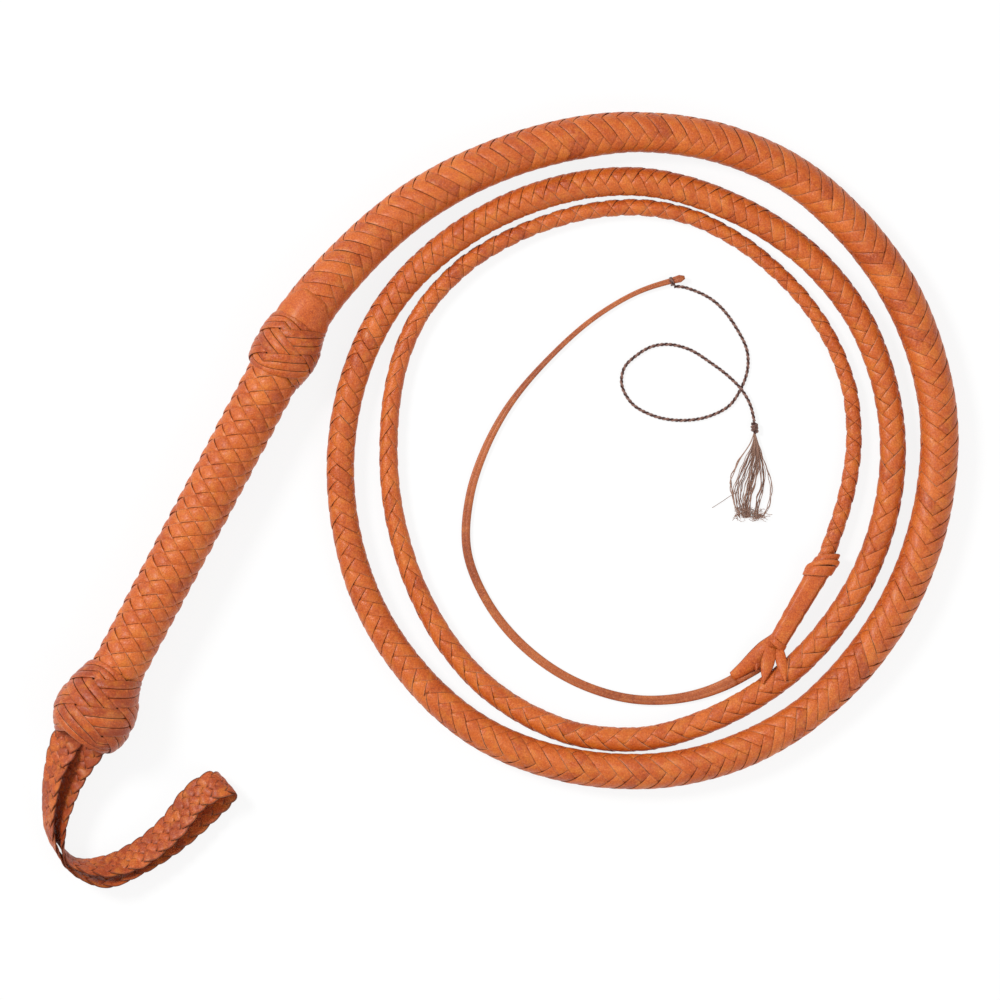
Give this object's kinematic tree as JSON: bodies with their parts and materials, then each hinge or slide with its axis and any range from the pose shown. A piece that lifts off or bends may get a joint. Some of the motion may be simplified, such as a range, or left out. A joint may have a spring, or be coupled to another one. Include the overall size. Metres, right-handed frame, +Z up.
{
  "type": "bullwhip",
  "caption": "Plaited leather bullwhip lying coiled flat, with a stiff handle between two woven knots, a wrist loop, a tapering thong, a fall and a corded cracker.",
  "frame": {"origin": "bottom centre of the box round the handle, its two knots and the wrist loop, on the surface that the whip lies on", "axes": "+Z up, away from the surface; the handle lies along +Y and a little towards +X from its heel to its thong, and the coil lies towards +X"},
  "size_m": [0.4572, 0.3874, 0.0411],
  "materials": {
    "cognac_leather": "waxed, slightly glossy",
    "chestnut_leather": "waxed, slightly glossy",
    "undyed_leather": "rough, hidden under the plait",
    "rod_steel": "bare, hidden in the handle",
    "twine": "waxed two-colour twisted cord",
    "tassel_fibre": "frayed fibre"
  },
  "bodies": {
    "handle": {"handle_core": "undyed_leather", "handle_rod": "rod_steel", "handle_strand_01": "cognac_leather", "handle_strand_02": "cognac_leather", "handle_strand_03": "cognac_leather", "handle_strand_04": "cognac_leather", "handle_strand_05": "cognac_leather", "handle_strand_06": "cognac_leather", "handle_strand_07": "cognac_leather", "handle_strand_08": "cognac_leather", "handle_strand_09": "cognac_leather", "handle_strand_10": "cognac_leather", "handle_strand_11": "cognac_leather", "handle_strand_12": "cognac_leather", "heel_foundation": "undyed_leather", "heel_knot_lace_1": "chestnut_leather", "heel_knot_lace_2": "chestnut_leather", "heel_knot_lace_3": "chestnut_leather", "loop_root_inner": "cognac_leather", "loop_root_outer": "cognac_leather", "transition_foundation": "undyed_leather", "transition_knot_lace_1": "chestnut_leather", "transition_knot_lace_2": "chestnut_leather", "transition_knot_lace_3": "chestnut_leather"},
    "wrist_loop": {"wrist_loop": "cognac_leather"},
    "coil": {"thong_root": "cognac_leather", "thong_twelve_plait": "cognac_leather"},
    "inner_coil": {"fall_eye": "chestnut_leather", "fall_root": "chestnut_leather", "hitch_ring": "chestnut_leather", "hitch_tail_1": "cognac_leather", "hitch_tail_2": "cognac_leather", "hitch_tail_3": "cognac_leather", "hitch_wrap": "cognac_leather", "thong_eight_plait": "cognac_leather", "thong_four_plait": "cognac_leather"},
    "fall": {"fall": "chestnut_leather"},
    "cracker": {"cracker_cord": "twine", "cracker_hitch": "chestnut_leather", "cracker_knot": "twine", "cracker_tassel": "tassel_fibre"}
  },
  "joints": [
    {"name": "loop_swing", "type": "hinge", "parent": "handle", "child": "wrist_loop", "pos_m": [-0.05516, -0.07761, 0.0185], "axis": [-0.8846, 0.4664, 0], "range_deg": [0, 60], "deforming": ["loop_root_outer", "loop_root_inner"]},
    {"name": "coil_lift", "type": "hinge", "parent": "handle", "child": "coil", "pos_m": [0.05927, 0.1392, 0.01635], "axis": [-0.4663, -0.8844, 0.019], "range_deg": [0, 80]},
    {"name": "inner_coil_lift", "type": "hinge", "parent": "coil", "child": "inner_coil", "pos_m": [0.12248, -0.04535, 0.00802], "axis": [0.7033, -0.7109, 0], "range_deg": [0, 60]},
    {"name": "fall_lift", "type": "hinge", "parent": "inner_coil", "child": "fall", "pos_m": [0.27575, -0.03988, 0.00274], "axis": [0.2079, 0.9781, 0], "range_deg": [0, 45]},
    {"name": "cracker_lift", "type": "hinge", "parent": "fall", "child": "cracker", "pos_m": [0.248, 0.1596, 0.0022], "axis": [-1, 0, 0], "range_deg": [0, 60]}
  ]
}
